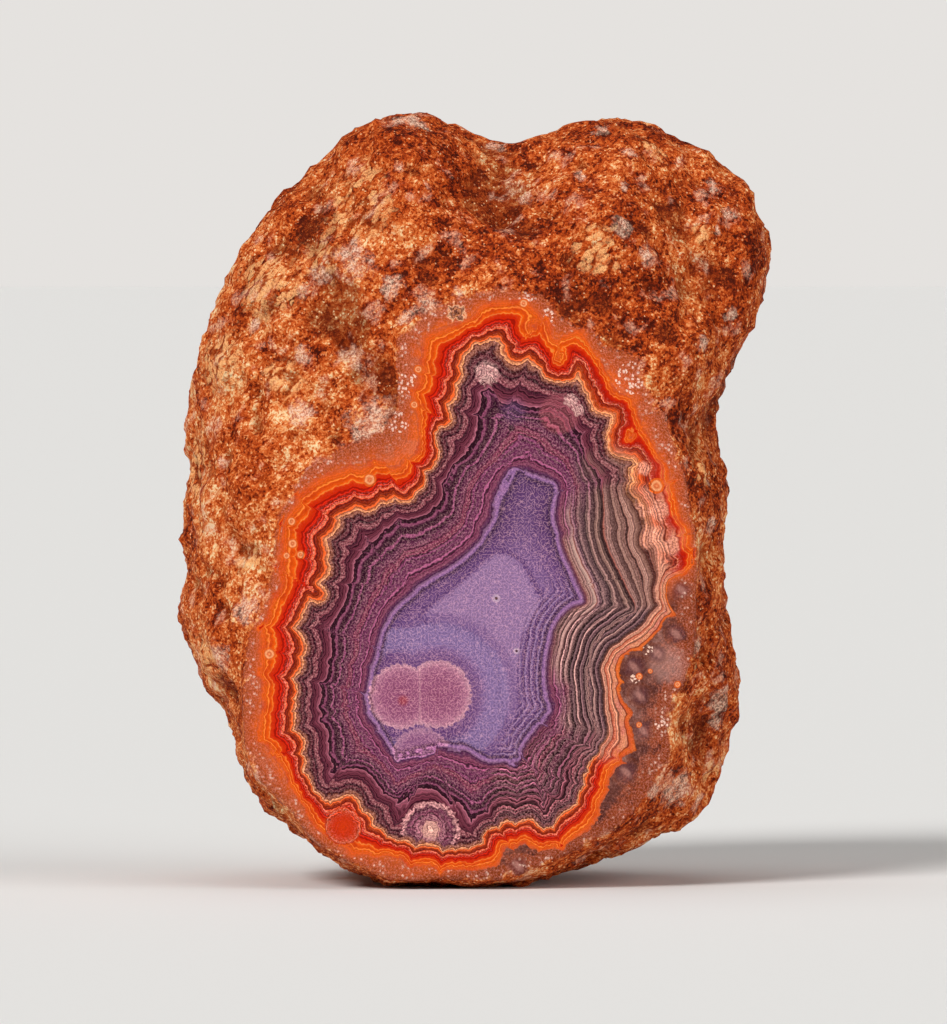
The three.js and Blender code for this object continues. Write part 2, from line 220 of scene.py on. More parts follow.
# Sizes of the noise in the colours, in millimetres
FINE = 0.2
CURLS = 0.36
CLOUDS = 1.4
SWAYS = 2.6
BROAD = 6
STREAKS = 0.7
BIG_GRAINS = 0.62
SMALL_GRAINS = 0.24
CRYSTAL = 0.32
SCALLOPS = 1.9
WANDER = 0.9
# The threads along the bands are this wide, as a share of the way between two lines
THREAD = 0.045

# On the UV map: how much a millimetre of the face takes, and where the rind starts and ends
MAP_SCALE = 0.0129
RIND_LOW = 0.61
RIND_HIGH = 0.99

# The frame's height at the stone, and how the camera stands, in metres and degrees
FRAME_HIGH = 0.1024
CAMERA_FAR = 1.2
CAMERA_TILT = 1.5
CAMERA_AIM = (0.00085, 0, 0.0369)

# What the floor shows once the suns light it, so that no horizon shows behind it
FLOOR_LIT = (0.783, 0.761, 0.738)


def closed_curve(corners, pieces=3):
    """Points of a smooth closed curve through the corners."""
    p1 = np.array(corners, float)
    p0, p2, p3 = np.roll(p1, 1, 0), np.roll(p1, -1, 0), np.roll(p1, -2, 0)
    points = []
    for t in np.arange(pieces) / pieces:
        bend = (2 * p0 - 5 * p1 + 4 * p2 - p3) * t * t + (3 * p1 - p0 - 3 * p2 + p3) * t**3
        points.append(p1 + 0.5 * ((p2 - p0) * t + bend))
    return np.stack(points, 1).reshape(-1, 2)


def measure(points, curve):
    """Each point's distance to a closed curve, positive inside it, and its nearest point there."""
    a, b = curve, np.roll(curve, -1, 0)
    way = b - a
    length2 = np.maximum((way**2).sum(1), 1e-12)
    far, near = [], []
    for some in np.array_split(points, max(1, len(points) // 2000)):
        off = some[:, None, :] - a
        share = np.clip((off * way).sum(2) / length2, 0, 1)
        gap = off - share[..., None] * way
        gap2 = (gap**2).sum(2)
        best = gap2.argmin(1)
        row = np.arange(len(some))
        crosses = (a[:, 1] > some[:, 1:]) != (b[:, 1] > some[:, 1:])
        rise = np.where(np.abs(way[:, 1]) < 1e-9, 1e-9, way[:, 1])
        right = some[:, :1] < a[:, 0] + off[:, :, 1] * way[:, 0] / rise
        inside = (crosses & right).sum(1) % 2 == 1
        far.append(np.sqrt(gap2[row, best]) * np.where(inside, 1, -1))
        near.append(some - gap[row, best])
    return np.concatenate(far), np.concatenate(near)


def blurred(grid, around, along):
    """A grid averaged over its neighbours: round its closed axis, and along its open one."""
    for reach, axis in ((around, 1), (along, 0)):
        size = int(math.ceil(3 * reach))
        weights = np.exp(-0.5 * (np.arange(-size, size + 1) / reach) ** 2)
        weights /= weights.sum()
        pad = [(0, 0)] * grid.ndim
        pad[axis] = (size, size)
        wide = np.pad(grid, pad, mode="wrap" if axis == 1 else "edge")
        count = grid.shape[axis]
        grid = sum(
            w * np.take(wide, np.arange(k, k + count), axis) for k, w in enumerate(weights)
        )
    return grid


def stone_tree():
    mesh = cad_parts["agate_nodule"].data
    corners = [v.co / MM for v in mesh.vertices]
    return BVHTree.FromPolygons(corners, [tuple(p.vertices) for p in mesh.polygons])


def outermost(tree, origin, way, reach=100):
    """How far out from the origin the stone reaches, going a given way."""
    hit = tree.ray_cast(origin + way * reach, -way)[0]
    return (hit - origin).dot(way)


def rim_radii(tree, angles):
    """The polished face's edge, measured just behind its plane."""
    origin = Vector((HUB.x, WINDOW_Y + 0.01, HUB.z))
    ways = [Vector((math.cos(a), 0, math.sin(a))) for a in angles]
    radii = np.array([[outermost(tree, origin, way) for way in ways]])
    return blurred(radii, RIM_EASED, 0.01)[0]


def rind_points(tree, angles, rim):
    """The rind on a grid of directions from the hub, eased so that no facet shows."""
    start = np.arctan2(rim, -WINDOW_Y)
    share = np.arange(RIND_RINGS + 1)[:, None] / RIND_RINGS
    turn = start + (math.pi - start) * share
    ways = np.stack(
        [np.sin(turn) * np.cos(angles), -np.cos(turn), np.sin(turn) * np.sin(angles)], 2
    )
    reach = np.array([[outermost(tree, HUB, Vector(way)) for way in row] for row in ways])
    eased = blurred(reach, *RIND_EASED)
    eased[-1] = eased[-1].mean()
    hold = np.clip(np.arange(RIND_RINGS + 1)[:, None] / EASED_IN, 0, 1)
    reach = reach * (1 - hold) + eased * hold
    reach[0] = np.hypot(rim, WINDOW_Y)
    return np.array(HUB) + ways * reach[..., None]


def grid_normals(grid):
    round_way = np.roll(grid, -1, 1) - np.roll(grid, 1, 1)
    out_way = np.gradient(grid, axis=0)
    normals = np.cross(out_way, round_way)
    return normals / np.maximum(np.linalg.norm(normals, axis=2, keepdims=True), 1e-9)


def pitting(p):
    """Small round pits, in some cells of a loose lattice."""
    gaps, seeds = noise.voronoi(p)
    if noise.cell(seeds[0] * 7.3) < 0.1:
        return 0.0
    return -math.exp(-((gaps[0] / 0.28) ** 2))


def crust(p):
    """How far the crust stands out at a point, in millimetres."""
    knobs = KNOBS[0] * noise.noise(p / KNOBS[1])
    knots = KNOTS[0] * noise.noise(p / KNOTS[1] + Vector((5, 3, 1)))
    grit = GRIT[0] * noise.noise(p / GRIT[1] + Vector((1, 8, 2)))
    grains = GRAINS[0] * noise.voronoi(p / GRAINS[1] + Vector((7, 2, 9)))[0][0]
    ridges = noise.ridged_multi_fractal(p / LEDGES[1], 0.8, 2.1, 4, 1.0, 2.0)
    ledges = LEDGES[0] * (ridges - 1.2)
    pits = SMALL_PITS[0] * pitting(p / SMALL_PITS[1])
    return 0.1 + knobs + knots + grit + grains + ledges + pits


def dressed_rind(grid):
    """The rind with its crust, and how far each point stands out from what lies around it."""
    height = np.array([[crust(Vector(p)) for p in row] for row in grid])
    height[-1] = height[-1].mean()
    behind_rim = np.clip(np.arange(len(grid))[:, None] / CRUSTED_IN, 0, 1)
    grid = grid + grid_normals(grid) * (height * behind_rim)[..., None]
    grid[..., 1] = np.maximum(grid[..., 1], WINDOW_Y)
    grid[..., 2] = np.maximum(grid[..., 2], 0)
    reach = np.linalg.norm(grid - np.array(HUB), axis=2)
    return grid, reach - blurred(reach, *RELIEF_REACH)


def face_points(angles, rim):
    """Rings over the polished face, from the first one round the hub out to the rim."""
    share = (np.arange(1, FACE_RINGS + 1) / FACE_RINGS)[:, None]
    x = HUB.x + share * rim * np.cos(angles)
    z = HUB.z + share * rim * np.sin(angles)
    return np.stack([x, np.full_like(x, WINDOW_Y), z], 2)


def band_fields(points, rim_curve):
    """Where each point of the face lies among the lines of the pattern.

    The whole part counts the lines that the point is inside of, and the rest is the share of
    the way to the next one, or in the core a tenth of the depth in millimetres. Also the width
    there, how far the point is inside the rim and inside the heart, and the tan line's nearest
    point.
    """
    lines = [closed_curve(c) for c in (ORANGE_EDGE, TAN_LINE, MAUVE_LINE, CORE_EDGE)]
    measured = [measure(points, line) for line in [rim_curve, *lines]]
    depths = [depth for depth, _ in measured]
    depths.append(depths[-1] - CORE_SCALE)
    bands = np.zeros(len(points))
    width = np.ones(len(points))
    for k in range(len(depths) - 1):
        inner, outer = np.maximum(depths[k], 0), np.maximum(-depths[k + 1], 0)
        both = np.maximum(inner + outer, 0.05)
        here = depths[k] >= 0
        bands = np.where(here, k + inner / both, bands)
        width = np.where(here, both, width)
    for centre, line, reach in GROWTHS:
        out = np.linalg.norm(points - np.array(centre), axis=1) / reach
        wrapped = line + np.maximum(out, 0.02)
        here = (bands >= line) & (wrapped < bands)
        bands = np.where(here, wrapped, bands)
        width = np.where(here, reach, width)
    heart = measure(points, closed_curve(CORE_HEART))[0]
    return bands, width, depths[0], heart, measured[2][1]


def patches(points, spots):
    """How far out each point is from the nearest of some spots on the front: 1 on their edges."""
    nearest = np.full(len(points), 9.0)
    for x, z, radius in spots:
        off = np.hypot(points[:, 0] - x, points[:, 2] - z)
        centre = points[np.where(off < off.min() + 0.5, points[:, 1], np.inf).argmin()]
        nearest = np.minimum(nearest, np.linalg.norm(points - centre, axis=1) / radius)
    return nearest


def ring_faces(count):
    """Faces of a closed skin of rings, with a point at either end."""
    here = np.arange(AROUND)
    after = (here + 1) % AROUND
    faces = [(0, 1 + a, 1 + b) for a, b in zip(here, after)]
    for r in range(count - 1):
        low = 1 + r * AROUND
        high = low + AROUND
        faces += [(low + a, high + a, high + b, low + b) for a, b in zip(here, after)]
    last = 1 + (count - 1) * AROUND
    faces += [(last + a, last + AROUND, last + b) for a, b in zip(here, after)]
    return [tuple(int(i) for i in f) for f in faces]


def agate_mesh():
    """The whole stone as one closed mesh, with its pattern's fields stored on its points."""
    tree = stone_tree()
    angles = (np.arange(AROUND) + 0.37) * 2 * math.pi / AROUND - math.pi / 2
    rim = rim_radii(tree, angles)
    rind, relief = dressed_rind(rind_points(tree, angles, rim))
    face = face_points(angles, rim)
    rings = np.concatenate([face, rind[1:-1]])
    points = np.concatenate([[(HUB.x, WINDOW_Y, HUB.z)], rings.reshape(-1, 3), [rind[-1, 0]]])
    mesh = bpy.data.meshes.new("agate_stone")
    mesh.from_pydata([tuple(p) for p in points * MM], [], ring_faces(len(rings)))
    mesh.polygons.foreach_set("use_smooth", [True] * len(mesh.polygons))

    on_face = 1 + FACE_RINGS * AROUND
    on_window = points[:on_face, [0, 2]]
    bands, width, inward, heart, shore = band_fields(on_window, face[-1][:, [0, 2]])
    from_rim = np.linalg.norm(rind[1:-1] - face[-1], axis=2).ravel()
    behind = len(points) - on_face
    fields = (
        ("bands", bands, 0), ("band_width", width, 1), ("heart", heart, 0),
        ("shore_x", shore[:, 0], 0), ("shore_z", shore[:, 1], 0),
    )
    for name, values, beyond in fields:
        store(mesh, name, np.append(values, np.full(behind, beyond)))
    store(mesh, "past_rim", np.concatenate([-inward, from_rim, [50]]))
    store(mesh, "relief", np.concatenate([np.zeros(on_face), relief[1:-1].ravel(), [0]]))
    for name, spots in (("pit", SHADED_PITS), ("quartz", PALE_SPOTS), ("golden", GOLDEN_SPOTS)):
        store(mesh, name, patches(points, spots))
    unwrap(mesh, points, len(rings))
    return mesh


def store(mesh, name, values):
    mesh.attributes.new(name, "FLOAT", "POINT").data.foreach_set("value", values)


def unwrap(mesh, points, ring_count):
    """The polished face laid flat on the lower part of the map, and the rind unrolled above it."""
    layer = mesh.uv_layers.new(name="OFBake")
    index = np.zeros(len(mesh.loops), int)
    mesh.loops.foreach_get("vertex_index", index)
    starts = np.zeros(len(mesh.polygons), int)
    mesh.polygons.foreach_get("loop_start", starts)
    owner = np.repeat(np.arange(len(starts)), np.diff(np.append(starts, len(index))))
    on_face = owner < AROUND * FACE_RINGS
    p = points[index]
    ring = (index - 1) // AROUND
    turned = (index - 1) % AROUND
    turned = np.where(turned < owner % AROUND, turned + AROUND, turned)
    turned = np.where(index == len(points) - 1, owner % AROUND + 0.5, turned)
    share = (ring - FACE_RINGS + 1) / (ring_count - FACE_RINGS + 1)
    along = RIND_LOW + (RIND_HIGH - RIND_LOW) * share
    u = np.where(on_face, (p[:, 2] + 1) * MAP_SCALE, 0.005 + 0.99 * turned / AROUND)
    v = np.where(on_face, (p[:, 0] + 23) * MAP_SCALE, along)
    layer.data.foreach_set("uv", np.stack([u, v], 1).ravel())
    layer.active_render = True


def srgb(red, green, blue):
    """A colour as given, 0 to 255, turned into Blender's linear values."""
    shares = [c / 255 for c in (red, green, blue)]
    return tuple(s / 12.92 if s <= 0.04045 else ((s + 0.055) / 1.055) ** 2.4 for s in shares)


class Graph:
    """The nodes of a material or world. Most methods add one and return its output."""

    def __init__(self, owner):
        owner.use_nodes = True
        self.tree = owner.node_tree
        self.tree.nodes.clear()

    def node(self, kind, inputs=None, **settings):
        """A new node, with its settings, and with its inputs given by number or name."""
        node = self.tree.nodes.new("ShaderNode" + kind)
        for name, setting in settings.items():
            setattr(node, name, setting)
        for socket, value in (inputs or {}).items():
            self.put(node.inputs[socket], value)
        return node

    def share(self, p):
        """Coordinates in millimetres, and noise, that several parts of the pattern use."""
        self.x, _, self.z = self.node("SeparateXYZ", {0: p}).outputs
        self.flat = self.spot(self.x, self.z)
        self.fine = self.noise(p, FINE, 2, 0.7)
        self.curl = self.noise(self.flat, CURLS, 0, flat=True)
        self.cloud = self.noise(p, CLOUDS, 3, 0.65)
        self.sway = self.noise(p, SWAYS, 1)
        self.ragged = self.math("MULTIPLY_ADD", self.curl, 0.14, -0.07)
        self.curl_line = self.math("ABSOLUTE", self.add(self.curl, -0.5))

    def put(self, socket, value):
        if value is None:
            return
        if isinstance(value, bpy.types.NodeSocket):
            self.tree.links.new(value, socket)
        elif isinstance(value, tuple) and socket.type == "RGBA":
            socket.default_value = (*value, 1)
        else:
            socket.default_value = value

    def math(self, operation, a, b=None, c=None):
        return self.node("Math", {0: a, 1: b, 2: c}, operation=operation).outputs[0]

    def add(self, *values):
        return reduce(lambda a, b: self.math("ADD", a, b), values)

    def times(self, *values):
        return reduce(lambda a, b: self.math("MULTIPLY", a, b), values)

    def vector(self, operation, a, b=None, output=0):
        second = "Scale" if operation == "SCALE" else 1
        return self.node("VectorMath", {0: a, second: b}, operation=operation).outputs[output]

    def within(self, flat, discs):
        """How far out a point is from the nearest of some discs: 1 on their edges."""
        nearest = None
        for x, z, radius in discs:
            out = self.vector("DISTANCE", flat, (x, z, 0), output=1)
            out = self.math("DIVIDE", out, radius)
            nearest = out if nearest is None else self.math("MINIMUM", nearest, out)
        return nearest

    def mix(self, share, a, b, blend="MIX"):
        inputs = {0: share, 6: a, 7: b}
        return self.node("Mix", inputs, data_type="RGBA", blend_type=blend).outputs[2]

    def blend(self, share, a, b):
        """Like mix, for plain numbers."""
        return self.node("Mix", {0: share, 2: a, 3: b}).outputs[0]

    def smooth(self, value, low, high, start=0.0, end=1.0):
        """A soft step: start where the value is at low, and end where it is at high."""
        inputs = {0: value, 1: low, 2: high, 3: start, 4: end}
        return self.node("MapRange", inputs, interpolation_type="SMOOTHSTEP").outputs[0]

    def ramp(self, value, stops):
        """Colour and grain along a value; a stop is (place, red, green, blue, grain)."""
        node = self.node("ValToRGB", {0: value})
        elements = node.color_ramp.elements
        while len(elements) < len(stops):
            elements.new(0.5)
        for element, (place, *colour, grain) in zip(elements, stops):
            element.position = place
            element.color = (*srgb(*colour), grain)
        return node.outputs

    def noise(self, point, size, detail, roughness=0.5, flat=False):
        inputs = {"Vector": point, "Scale": 1 / size, "Detail": detail, "Roughness": roughness}
        kind = "2D" if flat else "3D"
        return self.node("TexNoise", inputs, noise_dimensions=kind).outputs[0]

    def lines(self, value, size):
        """Noise along a plain number."""
        inputs = {"W": value, "Scale": 1 / size, "Detail": 1}
        return self.node("TexNoise", inputs, noise_dimensions="1D").outputs[0]

    def cells(self, point, size, flat=False):
        """Distance to the nearest seed, and a random value of its cell."""
        inputs = {"Vector": point, "Scale": 1 / size}
        node = self.node("TexVoronoi", inputs, voronoi_dimensions="2D" if flat else "3D")
        parts = self.node("SeparateColor", {0: node.outputs["Color"]})
        return node.outputs["Distance"], parts.outputs[0]

    def attribute(self, name):
        return self.node("Attribute", attribute_name=name).outputs["Fac"]

    def drawn_out(self, p, share):
        """The point in a frame where patterns come out long towards the upper right."""
        inputs = {"Vector": p, "Rotation": (0, -math.pi / 4, 0), "Scale": (share, 1, 1)}
        return self.node("Mapping", inputs, vector_type="TEXTURE").outputs[0]

    def spot(self, x, z):
        """A place on the stone as seen from the front."""
        return self.node("CombineXYZ", {0: x, 1: z}).outputs[0]


# The pattern's colours between its lines, from the outer line to the inner one. A stop is
# (place, red, green, blue, grain), and the grain says how grainy the stone is there.
OUTER_STOPS = (
    (0, 170, 80, 40, 0.6), (0.4, 190, 84, 40, 0.4), (0.8, 204, 84, 30, 0.2),
    (1, 212, 90, 26, 0.2),
)
ORANGE_STOPS = (
    (0, 196, 86, 44, 0.2), (0.1, 206, 82, 24, 0.1), (0.2, 214, 84, 10, 0.1),
    (0.225, 236, 132, 48, 0.1), (0.25, 204, 66, 6, 0.05), (0.34, 216, 80, 6, 0.05),
    (0.36, 238, 138, 52, 0.1), (0.38, 206, 58, 4, 0.05), (0.43, 200, 42, 2, 0.05),
    (0.5, 184, 26, 2, 0), (0.57, 158, 22, 4, 0.1), (0.63, 180, 40, 12, 0.4),
    (0.68, 178, 46, 20, 0.7), (0.705, 214, 118, 80, 0.8), (0.73, 184, 60, 28, 0.5),
    (0.75, 106, 16, 4, 0.1), (0.83, 150, 42, 10, 0.1), (0.92, 194, 78, 28, 0.2),
    (0.975, 226, 136, 84, 0.5), (1, 206, 140, 92, 0.9),
)
ORANGE_GREY_STOPS = (
    (0, 170, 78, 22, 0.3), (0.06, 214, 100, 32, 0.2), (0.16, 204, 96, 46, 0.1),
    (0.2, 96, 18, 6, 0), (0.25, 212, 138, 100, 0.4), (0.42, 206, 124, 90, 0.4),
    (0.47, 54, 10, 8, 0), (0.52, 214, 146, 112, 0.5), (0.68, 192, 102, 72, 0.4),
    (0.74, 84, 16, 12, 0.1), (0.8, 210, 146, 116, 0.5), (0.93, 178, 116, 94, 0.4),
    (1, 70, 30, 26, 0.2),
)
TAN_STOPS = (
    (0, 214, 146, 96, 0.7), (0.03, 120, 52, 34, 0.8), (0.1, 150, 92, 70, 0.8),
    (0.15, 96, 42, 38, 0.7), (0.22, 52, 12, 22, 0.4), (0.27, 112, 52, 60, 0.8),
    (0.33, 46, 8, 22, 0.3), (0.4, 60, 14, 30, 0.6), (0.46, 140, 76, 82, 1),
    (0.56, 132, 62, 74, 1), (0.6, 38, 6, 20, 0.2), (0.66, 72, 22, 40, 0.1), (0.7, 108, 50, 62, 0),
    (0.715, 42, 8, 24, 0), (0.76, 90, 36, 50, 0), (0.9, 112, 54, 68, 0), (0.965, 154, 88, 104, 0),
    (0.985, 56, 18, 34, 0), (1, 34, 8, 20, 0),
)
TAN_GREY_STOPS = (
    (0, 58, 23, 19, 0.1), (0.08, 113, 73, 62, 0.3), (0.26, 175, 131, 115, 0.4),
    (0.31, 142, 99, 87, 0.3), (0.34, 66, 38, 34, 0.2), (0.42, 111, 76, 68, 0.4),
    (0.56, 164, 122, 108, 0.4), (0.6, 62, 35, 33, 0.2), (0.7, 102, 70, 65, 0.4),
    (0.86, 154, 114, 104, 0.4), (0.9, 140, 79, 68, 0.2), (0.94, 44, 23, 23, 0.1),
    (1, 56, 35, 35, 0.2),
)
MAUVE_STOPS = (
    (0, 35, 6, 21, 0.09), (0.06, 55, 15, 36, 0.26), (0.1, 140, 71, 101, 0.42),
    (0.125, 40, 7, 27, 0.26), (0.2, 65, 22, 45, 0.59), (0.26, 118, 59, 88, 0.85),
    (0.3, 57, 16, 42, 0.59), (0.38, 98, 42, 72, 0.85), (0.44, 118, 56, 83, 0.85),
    (0.46, 61, 18, 42, 0.42), (0.5, 124, 54, 78, 0.85), (0.555, 130, 59, 81, 0.85),
    (0.58, 73, 24, 50, 0.51), (0.64, 108, 50, 83, 0.77), (0.7, 93, 38, 71, 0.68),
    (0.78, 120, 59, 90, 0.51), (0.81, 140, 74, 105, 0.34), (0.825, 47, 12, 34, 0.09),
    (0.86, 103, 45, 71, 0.26), (0.92, 132, 65, 92, 0.34), (0.95, 98, 45, 76, 0.26),
    (1, 77, 38, 78, 0.17),
)
MAUVE_GREY_STOPS = (
    (0, 72, 48, 46, 0.2), (0.1, 146, 111, 99, 0.4), (0.14, 62, 38, 38, 0.2),
    (0.22, 104, 75, 73, 0.4), (0.31, 154, 119, 109, 0.4), (0.34, 48, 30, 33, 0.2),
    (0.42, 92, 65, 68, 0.5), (0.5, 136, 102, 99, 0.5), (0.53, 58, 37, 43, 0.4),
    (0.6, 104, 73, 81, 0.7), (0.655, 152, 115, 111, 0.4), (0.67, 172, 71, 58, 0.1),
    (0.685, 178, 144, 132, 0.1), (0.76, 166, 130, 120, 0.3), (0.82, 111, 77, 73, 0.3),
    (0.87, 154, 113, 103, 0.5), (0.93, 142, 84, 83, 0.4), (0.96, 98, 50, 64, 0.2),
    (1, 110, 63, 93, 0.2),
)
CORE_STOPS = (
    (0, 104, 62, 92, 0.4), (0.012, 122, 84, 118, 0.3), (0.035, 106, 74, 112, 0.5),
    (0.07, 94, 62, 106, 0.8), (0.1, 90, 58, 104, 1), (0.16, 102, 68, 116, 1),
    (0.3, 116, 84, 130, 1), (0.5, 124, 92, 138, 0.9),
)
EYE_STOPS = (
    (0, 206, 158, 140, 0.5), (0.2, 196, 142, 130, 0.7), (0.25, 156, 98, 108, 0.6),
    (0.27, 110, 56, 72, 0.5), (0.32, 146, 92, 104, 1), (0.39, 116, 62, 80, 0.9),
    (0.43, 88, 36, 56, 0.5), (0.48, 118, 62, 82, 0.6), (0.58, 80, 32, 52, 0.5),
    (0.63, 188, 134, 132, 1), (0.7, 182, 124, 124, 1), (0.73, 70, 22, 44, 0.1),
)
EMBER_STOPS = (
    (0, 198, 52, 8, 0), (0.5, 188, 44, 8, 0.1), (0.8, 190, 60, 24, 0.5), (0.88, 200, 96, 62, 0.7),
    (0.93, 168, 40, 8, 0.1), (1, 192, 60, 12, 0.1),
)
POCKET_STOPS = (
    (0, 104, 62, 64, 0.1), (0.5, 90, 50, 54, 0.1), (0.85, 112, 60, 50, 0.1),
    (1, 176, 84, 34, 0.1),
)
ORB_STOPS = (
    (0, 228, 140, 86, 0.1), (0.25, 200, 92, 48, 0.1), (0.55, 234, 160, 108, 0.1),
    (0.75, 206, 88, 32, 0), (1, 216, 90, 22, 0),
)
DISC_STOPS = (
    (0, 136, 72, 104, 1), (0.6, 142, 80, 112, 1), (0.85, 160, 102, 128, 1),
    (0.98, 184, 134, 150, 1),
)
LOBE_STOPS = ((0, 136, 84, 122, 0.9), (0.7, 132, 82, 120, 0.9), (0.96, 156, 110, 138, 0.9))
MOSS_STOPS = (
    (0.3, 60, 26, 26, 0.2), (0.43, 88, 45, 37, 0.2), (0.55, 109, 63, 53, 0.2),
    (0.7, 142, 99, 89, 0.3),
)
KNOT_STOPS = (
    (0, 84, 36, 18, 0.8), (0.35, 190, 116, 70, 0.8), (0.6, 96, 44, 24, 0.6),
    (0.8, 226, 166, 124, 0.7), (1, 206, 104, 56, 0.1),
)
RIND_STOPS = (
    (0.26, 70, 16, 4, 0), (0.36, 126, 38, 8, 0), (0.44, 172, 62, 14, 0), (0.52, 202, 88, 32, 0),
    (0.59, 222, 116, 56, 0), (0.67, 242, 160, 98, 0), (0.79, 255, 220, 168, 0),
)
# Painted shade and highlight across each step of the band lines on the lower right
STEP_SHADE_STOPS = (
    (0, 44, 30, 36, 0), (0.24, 92, 76, 82, 0), (0.5, 146, 132, 138, 0), (0.74, 206, 194, 198, 0),
    (0.9, 250, 238, 240, 0), (1, 36, 24, 30, 0),
)


def over(g, colour, grain, share, new_colour, new_grain):
    """A colour and its grain, with another pair laid over them."""
    return g.mix(share, colour, new_colour), g.blend(share, grain, new_grain)


def grey_share(g):
    """How far a place belongs to the grey side of the pattern."""
    (x, z), (wide, high) = GREY_SIDE
    off = g.vector("MULTIPLY", g.vector("SUBTRACT", g.flat, (x, z, 0)), (1 / wide, 1 / high, 0))
    far = g.add(g.vector("LENGTH", off, output=1), g.times(g.sway, 0.7), -0.35)
    return g.smooth(far, 0.72, 1.2, 1.0, 0.0)


def band_place(g, grey):
    """The band field with the scallops and the tremor of real bands, and a slow sway."""
    shore = g.spot(g.attribute("shore_x"), g.attribute("shore_z"))
    near_shore = g.vector("ADD", shore, g.vector("SCALE", g.flat, 0.1))
    scallop = g.math("POWER", g.cells(near_shore, SCALLOPS, flat=True)[0], 2)
    scallop = g.times(scallop, g.math("MULTIPLY_ADD", grey, -0.95, 1.25))
    tremor = g.times(g.add(g.curl, -0.5), g.math("MULTIPLY_ADD", grey, -0.17, 0.22))
    shift = g.add(scallop, tremor, g.times(g.sway, 0.5), -0.5)
    bands = g.attribute("bands")
    calm = g.smooth(bands, 3.9, 4.0, 1.0, 0.5)
    return g.add(bands, g.times(g.math("DIVIDE", shift, g.attribute("band_width")), calm))


def banded(g, field, grey):
    """Colour and grain of the bands, from the outer translucent layer to the purple core."""
    colour, grain = g.ramp(field, OUTER_STOPS)
    zones = (
        (1, ORANGE_STOPS, ORANGE_GREY_STOPS),
        (2, TAN_STOPS, TAN_GREY_STOPS),
        (3, MAUVE_STOPS, MAUVE_GREY_STOPS),
        (4, CORE_STOPS, None),
    )
    for start, stops, grey_stops in zones:
        share = g.math("SUBTRACT", field, start)
        if start == 1:
            right = g.times(g.smooth(g.x, 9, 16), g.smooth(g.z, 24, 30), 0.9)
            bulge = g.times(share, g.math("SUBTRACT", 1, share), right)
            share = g.add(share, g.math("MAXIMUM", bulge, 0))
        here = g.ramp(share, stops)
        if grey_stops:
            here = over(g, *here, grey, *g.ramp(share, grey_stops))
        past = g.math("GREATER_THAN", field, start)
        colour, grain = over(g, colour, grain, past, *here)
    orange = g.times(g.smooth(field, 0.8, 1.1), g.smooth(field, 1.5, 1.35))
    shade = g.times(orange, g.smooth(g.cloud, 0.46, 0.62, 0.0, 0.75))
    return g.mix(shade, colour, (0.84, 0.62, 0.9), "MULTIPLY"), grain


def painted_step_shading(g, field, grey, colour):
    """Crisp band lines on the lower right, painted as steps: over the bands' own colour, each has
    painted shade along its outer side and a painted highlight along the inner.
    """
    grey_low = g.times(grey, g.smooth(g.z, 29, 27))
    low_right = g.times(g.smooth(g.z, 19, 14), g.smooth(g.x, 0.5, 4))
    inside = g.times(g.smooth(field, 2.02, 2.1), g.smooth(field, 4.0, 3.96))
    depth = g.times(g.math("FRACT", field), g.attribute("band_width"))
    wander = g.lines(depth, WANDER)
    phase = g.math("FRACT", g.add(g.times(depth, 2.1), g.times(wander, 1.4)))
    base = g.mix(g.times(grey_low, 0.85), colour, srgb(142, 114, 106))
    base = g.mix(g.times(grey_low, g.smooth(wander, 0.5, 0.6), 0.8), base, srgb(78, 56, 62))
    base = g.mix(g.times(low_right, 0.3), base, srgb(138, 98, 100))
    # Painted shade and highlight across each step, multiplied over the colour
    tone = g.ramp(phase, STEP_SHADE_STOPS)[0]
    shade_and_highlight = g.mix(1.0, base, g.mix(1.0, tone, (2.3, 2.3, 2.3), "MULTIPLY"), "MULTIPLY")
    return g.mix(g.times(g.math("MAXIMUM", grey_low, low_right), inside), colour, shade_and_highlight)


